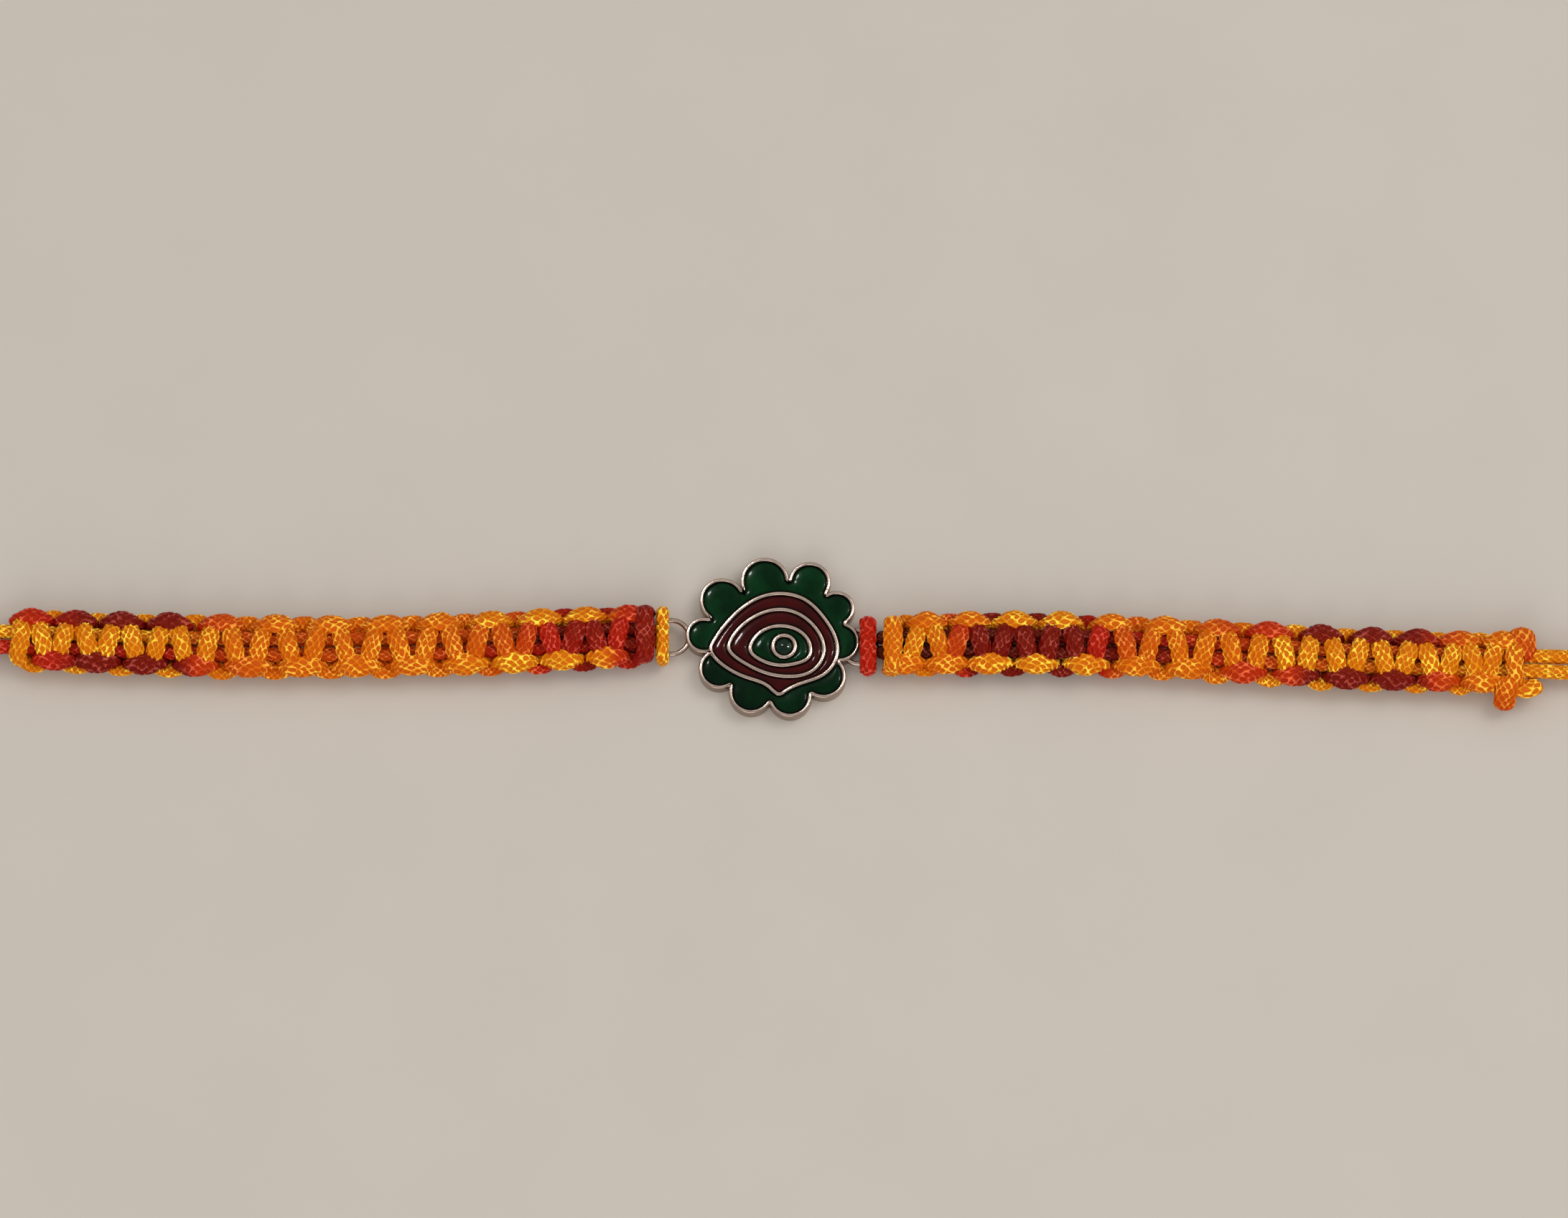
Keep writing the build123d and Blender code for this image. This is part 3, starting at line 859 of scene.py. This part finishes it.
def place_in_band(points, band):
    """Points of the band's own millimetres in the row frame, in metres."""
    heading = math.radians(band["heading"])
    ahead = np.array([math.cos(heading), math.sin(heading), 0])
    left = np.array([-ahead[1], ahead[0], 0])
    share = math.pi * points[:, 0] / band["length"]
    sideways = points[:, 1] + band["bow"] * np.sin(share) + band["wave"] * np.sin(2 * share)
    placed = band["origin"] + np.outer(points[:, 0], ahead) + np.outer(sideways, left)
    placed[:, 2] += points[:, 2]
    return placed * MM


def working_cord_mesh(name, band, side, table, cords, dyes):
    """One of the two flat cords that tie a band's square knots."""
    bars = band["bars"]
    start_trim, end_trim = FRONT_TRIM if side > 0 else BACK_TRIM
    fine = np.linspace(start_trim * math.pi, (bars - end_trim) * math.pi, bars * ROUTE_STEPS_PER_BAR)
    lengths = path_lengths(working_cord_points(fine, side, band))
    turns = np.interp(np.arange(0, lengths[-1], cords.stitch_length / MM / WORKING_RINGS), lengths, fine)
    middle = working_cord_points(turns, side, band)
    ahead = working_cord_points(turns + LOOK_AHEAD, side, band) - middle
    outward = np.stack([np.zeros(len(middle)), middle[:, 1] * LOOP_TILT, middle[:, 2]], 1)
    flat = unit(np.cross(ahead, outward))
    loose = [uneven("ahead", turns, side), uneven("sideways", turns, side), np.zeros(len(turns))]
    moved = middle + np.stack(loose, 1) * cords.looseness / MM
    moved[:, 2] += BAND_THICKNESS / 2
    centres = place_in_band(moved, band)
    edges = place_in_band(moved + flat, band)
    squeeze = DIVE_SQUEEZE * np.sin(2 * turns) ** 2
    widths = cords.working_width * (1 + uneven("width", turns, side)) * (1 - squeeze)
    widths += LOOP_SPREAD * np.cos(turns) ** 4 * MM
    thicknesses = cords.working_thickness * (1 + squeeze)
    colours = dye_along(dyes, table, middle[:, 0] + uneven("dye", turns, side))
    return knit_mesh(name, centres, edges - centres, widths, thicknesses, colours, cords, WORKING_POINTS)


def core_cord_mesh(name, band, side, table, cords, dyes):
    """One of the two cords that run through a band."""
    step = cords.stitch_length / MM / CORE_RINGS
    places = np.arange(-band["lead"], band["length"] + band["stub"], step)
    height = BAND_THICKNESS / 2 + CORE_LIFT * eased(-places / band["lead"])
    points = np.stack([places, np.full(len(places), side * CORE_SIDE), height], 1)
    sides = np.tile([0.0, 1.0, 0.0], (len(points), 1))
    size = np.full(len(points), cords.core_diameter)
    colours = dye_along(dyes, table, places)
    return knit_mesh(name, place_in_band(points, band), sides, size, size, colours, cords, CORE_POINTS)


class RAKHI_OT_stage(bpy.types.Operator):
    """Add the floor, the soft lights and the camera"""

    bl_idname = "rakhi.stage"
    bl_label = "Stage"

    def execute(self, context):
        stage = context.scene.rakhi_stage
        self.camera(context, stage)
        bpy.ops.object.select_all(action="DESELECT")
        bpy.ops.mesh.primitive_plane_add(size=FLOOR_SIZE, location=(0, 0, 0))
        floor = context.object
        floor.name = "floor"
        floor.data.materials.append(floor_material(stage.floor_colour))
        for name, row in LAMPS.items():
            self.lamp(stage, name, *row)
        self.room(context)
        context.scene.view_settings.view_transform = "Standard"
        return {"FINISHED"}

    def room(self, context):
        """Soft light from a room that is brighter overhead than at its walls."""
        world = bpy.data.worlds.new("soft_room")
        world.use_nodes = True
        room = NodeTree(world.node_tree)
        direction = room.node("ShaderNodeTexCoord", output="Generated")
        height = room.node("ShaderNodeSeparateXYZ", None, {0: direction}, "Z")
        stops = [(place, [level * share for share in DAYLIGHT]) for place, level in ROOM_LEVELS]
        room.fill(world.node_tree.nodes["Background"].inputs["Color"], room.ramp(height, stops))
        context.scene.world = world

    def camera(self, context, stage):
        """The camera looks down at the photograph's angle, from the near side."""
        target = Vector(CAMERA_TARGET) * MM
        distance = stage.view_width * stage.lens / SENSOR_WIDTH
        back = Vector((0, -math.cos(stage.elevation), math.sin(stage.elevation)))
        data = bpy.data.cameras.new("camera")
        data.lens = stage.lens
        data.sensor_width = SENSOR_WIDTH
        data.clip_start = CLIP_START
        context.scene.camera = aimed("camera", data, target + back * distance, -back)

    def lamp(self, stage, name, place, size, power, tint):
        """A square soft light aimed at the flower. The sparkles show only as reflections."""
        data = bpy.data.lights.new(name, "AREA")
        data.energy = getattr(stage, power)
        data.size = size * MM
        data.color = tint
        place = Vector(place) * MM
        lamp = aimed(name, data, place, -place)
        lamp.visible_diffuse = power != "sparkle_power"


class RAKHI_OT_ties(bpy.types.Operator):
    """Add the four tie cords with the knots that hold each pair together"""

    bl_idname = "rakhi.ties"
    bl_label = "Tie cords"

    def execute(self, context):
        cords, dyes, material = cord_setup(context)
        ties, paths = {}, {}
        for name, tie in TIES.items():
            start_dye, end_dye = tie["dyes"]
            centres = spline_points(tie["route"], cords)
            table = [(0.0, start_dye), (tie["length"], end_dye)]
            colours = dye_along(dyes, table, path_lengths(centres) / MM)
            mesh = round_cord_mesh(name, centres, colours, cords, round_ends=False)
            ties[name] = finish_piece(link_piece(f"{name}_cord", mesh), material, name)
            paths[name] = centres
        for side in ("left", "right"):
            knot = self.knot(side, cords, dyes, material)
            for place in ("upper", "lower"):
                name = f"{side}_tie_{place}"
        return {"FINISHED"}

    def knot(self, side, cords, dyes, material):
        """An overhand knot over a pair of ties: turns round both, and two short tails."""
        way = -1 if side == "left" else 1
        upper, lower = TIES[f"{side}_tie_upper"], TIES[f"{side}_tie_lower"]
        meshes = [self.turns(way, upper, lower, cords, dyes)]
        for tie, spread in ((upper, TAIL_SPREAD), (lower, -TAIL_SPREAD)):
            x, y, _ = tie["route"][-1]
            route = [(x + way * ahead, y + spread * share, height) for ahead, share, height in TAIL_ROUTE]
            centres = spline_points(route, cords)
            colours = np.tile(tuple(getattr(dyes, tie["dyes"][1])), (len(centres), 1))
            meshes.append(round_cord_mesh("tail", centres, colours, cords))
        knot = joined(f"{side}_tie_knot_cords", meshes)
        return finish_piece(knot, material, f"{side}_tie_knot")

    def turns(self, way, upper, lower, cords, dyes):
        """The knot's turns: a helix round the ends of both ties."""
        x, y, _ = (np.array(upper["route"][-1]) + np.array(lower["route"][-1])) / 2
        turns = np.linspace(0, 2 * math.pi * KNOT_TURNS, KNOT_STEPS)
        ahead = x + way * (KNOT_START + turns / (2 * math.pi) * KNOT_PITCH)
        aside = y + KNOT_RADIUS * np.cos(turns)
        coil = np.stack([ahead, aside, KNOT_HEIGHT + KNOT_RADIUS * np.sin(turns) * way], 1)
        lengths = path_lengths(coil)
        coil = at_lengths(coil, lengths, np.arange(0, lengths[-1], cords.stitch_length / MM / TIE_RINGS)) * MM
        inward = np.array([0, y, KNOT_HEIGHT]) * MM - coil * [0, 1, 1]
        size = np.full(len(coil), cords.core_diameter)
        colours = np.tile(tuple(getattr(dyes, upper["dyes"][1])), (len(coil), 1))
        return knit_mesh("turns", coil, inward, size * KNOT_CORD_WIDTH, size, colours, cords, TIE_POINTS)


class RAKHI_OT_bands(bpy.types.Operator):
    """Tie both bands of square knots"""

    bl_idname = "rakhi.bands"
    bl_label = "Knotted bands"

    def execute(self, context):
        cords, dyes, material = cord_setup(context)
        for side, band in BANDS.items():
            node = f"{side}_band"
            for place, way in (("front", 1), ("back", -1)):
                table = WORKING_DYES[f"{side}_{place}"]
                name = f"{side}_{place}_working_cord"
                mesh = working_cord_mesh(name, band, way, table, cords, dyes)
                finish_piece(link_piece(name, mesh), material, node)
            upward = -1 if side == "left" else 1
            meshes = [
                core_cord_mesh(place, band, way * upward, CORE_DYES[f"{side}_{place}"], cords, dyes)
                for place, way in (("upper", 1), ("lower", -1))
            ]
            cores = joined(f"{side}_core_cords", meshes)
            finish_piece(cores, material, node)
        return {"FINISHED"}


class RAKHI_OT_hitches(bpy.types.Operator):
    """Loop the doubled core cord onto each soldered ring"""

    bl_idname = "rakhi.hitches"
    bl_label = "Hitches"

    def execute(self, context):
        cords, dyes, material = cord_setup(context)
        for side, row in HITCHES.items():
            centres = spline_points(self.route(row), cords)
            lengths = path_lengths(centres)
            bar = eased((HITCH_BAR_REACH - np.abs(lengths / lengths[-1] - 0.5)) / HITCH_BAR_FADE)
            widths = (HITCH_CORD + row["wider"] * bar) * MM
            thicknesses = (HITCH_CORD + HITCH_BAR_THICKER * bar) * MM
            bar_dye, leg_dye = (getattr(dyes, dye) for dye in row["dyes"])
            colours = np.outer(bar, bar_dye) + np.outer(1 - bar, leg_dye)
            sides = carried_sides(centres, (0, 0, 1))
            mesh = knit_mesh("hitch", centres, sides, widths, thicknesses, colours, cords, TIE_POINTS)
            finish_piece(link_piece(f"{side}_hitch_cord", mesh), material, f"{side}_hitch")
        return {"FINISHED"}

    def route(self, row):
        """From the band through the ring, over both legs and back again."""
        half = [(row["start"] + (row["end"] - row["start"]) * share, y, z) for share, y, z in HITCH_HALF]
        there = [(x, row["y"] + y, z) for x, y, z in half]
        return there + [(x, row["y"] - y, z) for x, y, z in reversed(half)]


class RAKHI_OT_ends(bpy.types.Operator):
    """Add the last loops of the right band and its cut, melted cord end"""

    bl_idname = "rakhi.ends"
    bl_label = "Cord ends"

    def execute(self, context):
        cords, dyes, material = cord_setup(context)
        meshes = [self.stub(row, cords, dyes) for row in (LAST_LOBE, LAST_LOWER_LOOP)]
        finish_piece(joined("right_band_last_loops", meshes), material, "right_band")
        cut = link_piece("lower_cut_cord_end", self.stub(CUT_END, cords, dyes))
        finish_piece(cut, material, "lower_cut_end")
        return {"FINISHED"}

    def stub(self, row, cords, dyes):
        """A short fat length of cord with round ends, its route measured from the last knot."""
        band = BANDS["right"]
        placed = place_in_band(np.array(row["route"]) + [band["length"], 0, 0], band) / MM
        centres = spline_points([tuple(point) for point in placed], cords)
        lengths = path_lengths(centres)
        start_dye, end_dye = row["dyes"]
        colours = dye_along(dyes, [(0.0, start_dye), (lengths[-1], end_dye)], lengths)
        sides = carried_sides(centres, STUB_SIDE)
        widths = np.full(len(centres), row["width"] * MM)
        thicknesses = widths * row["thickness"] / row["width"]
        return knit_mesh("stub", centres, sides, widths, thicknesses, colours, cords, STUB_POINTS)


def cad_copy(node, name):
    """A merged copy of a frame piece, free to be changed."""
    piece = link_piece(name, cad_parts[node].data.copy())
    piece.data.name = name
    merged = bmesh.new()
    merged.from_mesh(piece.data)
    bmesh.ops.remove_doubles(merged, verts=merged.verts, dist=MERGE_WITHIN * MM)
    merged.to_mesh(piece.data)
    merged.free()
    return piece


def applied(piece, kind, **settings):
    """Adds a modifier with its settings and applies it."""
    modifier = piece.modifiers.new(kind.title(), kind)
    for setting, value in settings.items():
        setattr(modifier, setting, value)
    select_only(piece)
    bpy.ops.object.modifier_apply(modifier=modifier.name)


class RAKHI_OT_silver(bpy.types.Operator):
    """Round the edges of the cast flower and its soldered rings"""

    bl_idname = "rakhi.silver"
    bl_label = "Silver flower"

    def execute(self, context):
        metal = context.scene.rakhi_metal
        piece = cad_copy("silver_frame", "silver_flower")
        applied(piece, "DECIMATE", decimate_type="DISSOLVE", angle_limit=math.radians(FLAT_ANGLE))
        self.mark_top_edges(piece.data)
        rounding = {"width": metal.edge_round, "segments": ROUNDING_STEPS, "use_clamp_overlap": False}
        applied(piece, "BEVEL", limit_method="WEIGHT", **rounding)
        select_only(piece)
        bpy.ops.object.shade_smooth_by_angle(angle=math.radians(SMOOTH_ANGLE))
        finish_piece(piece, silver_material(metal), "silver_frame")
        return {"FINISHED"}

    def mark_top_edges(self, mesh):
        """Gives a bevel weight to the level outer edges along the tops of the rim and the wire lines."""
        shape = bmesh.new()
        shape.from_mesh(mesh)
        weight = shape.edges.layers.float.new("bevel_weight_edge")
        middle = sum(vertex.co.z for vertex in shape.verts) / len(shape.verts)
        for edge in shape.edges:
            low, high = sorted(vertex.co.z for vertex in edge.verts)
            sharp = edge.is_convex and edge.calc_face_angle(0) > math.radians(SHARP_ANGLE)
            edge[weight] = float(sharp and low > middle and high - low < LEVEL_WITHIN * MM)
        shape.to_mesh(mesh)
        shape.free()


class RAKHI_OT_enamel(bpy.types.Operator):
    """Dome each enamel field between the wires"""

    bl_idname = "rakhi.enamel"
    bl_label = "Enamel"

    def execute(self, context):
        enamel = context.scene.rakhi_enamel
        for node, (look, slot, roundness) in ENAMEL_FIELDS.items():
            name, light, gloss = ENAMELS[look]
            colour = tuple(getattr(enamel, look))
            material = made_once(name, enamel_material, name, colour, light, gloss)
            finish_piece(self.field(node, enamel, roundness), material, node)
        return {"FINISHED"}

    def field(self, node, enamel, roundness):
        """A copy of the frame's fill, finely meshed, its top curved down beside the metal."""
        piece = cad_copy(node, f"{node}_enamel")
        applied(piece, "REMESH", mode="VOXEL", voxel_size=ENAMEL_MESH * MM)
        mesh = piece.data
        top = max(vertex.co.z for vertex in mesh.vertices)
        walls = [vertex.co for vertex in mesh.vertices if abs(vertex.normal.z) < WALL_STEEPNESS]
        tree = KDTree(len(walls))
        for index, place in enumerate(walls):
            tree.insert((place.x, place.y, 0), index)
        tree.balance()
        # Share of the way from the metal to the dome's level part; the enamel material paints shade beside
        # the walls by it
        middle = mesh.attributes.new("middle", "FLOAT", "POINT")
        for vertex in mesh.vertices:
            distance = tree.find((vertex.co.x, vertex.co.y, 0))[2]
            share = min(distance / enamel.dome_width, 1)
            middle.data[vertex.index].value = share
            if vertex.co.z > top - ENAMEL_TOP * MM:
                vertex.co.z -= enamel.edge_drop * roundness * (1 - share) ** 2
        mesh.shade_smooth()
        mesh.update()
        return piece


class RAKHI_PT_panel(bpy.types.Panel):
    """Lists the bracelet's steps and sizes"""

    bl_label = "Rakhi"
    bl_idname = "RAKHI_PT_panel"
    bl_space_type = "VIEW_3D"
    bl_region_type = "UI"
    bl_category = "Rakhi"

    def draw(self, context):
        for operator in OPERATORS:
            self.layout.operator(operator.bl_idname)
        for name, group in SETTINGS.items():
            box = self.layout.box()
            box.label(text=group.__doc__)
            for setting in group.__annotations__:
                box.prop(getattr(context.scene, name), setting)


SETTINGS = {
    "rakhi_cords": CordSettings,
    "rakhi_dyes": DyeSettings,
    "rakhi_metal": MetalSettings,
    "rakhi_enamel": EnamelSettings,
    "rakhi_stage": StageSettings,
}
OPERATORS = (
    RAKHI_OT_stage, RAKHI_OT_ties, RAKHI_OT_bands, RAKHI_OT_hitches,
    RAKHI_OT_ends, RAKHI_OT_silver, RAKHI_OT_enamel,
)


def register():
    for group in SETTINGS.values():
        bpy.utils.register_class(group)
    for name, group in SETTINGS.items():
        setattr(bpy.types.Scene, name, bpy.props.PointerProperty(type=group))
    for operator in OPERATORS:
        bpy.utils.register_class(operator)
    bpy.utils.register_class(RAKHI_PT_panel)


def unregister():
    bpy.utils.unregister_class(RAKHI_PT_panel)
    for operator in reversed(OPERATORS):
        bpy.utils.unregister_class(operator)
    for name, group in SETTINGS.items():
        delattr(bpy.types.Scene, name)
        bpy.utils.unregister_class(group)


def main():
    register()
    bpy.ops.rakhi.stage()
    bpy.ops.rakhi.ties()
    bpy.ops.rakhi.bands()
    bpy.ops.rakhi.hitches()
    bpy.ops.rakhi.ends()
    bpy.ops.rakhi.silver()
    bpy.ops.rakhi.enamel()


if __name__ == "__main__":
    main()
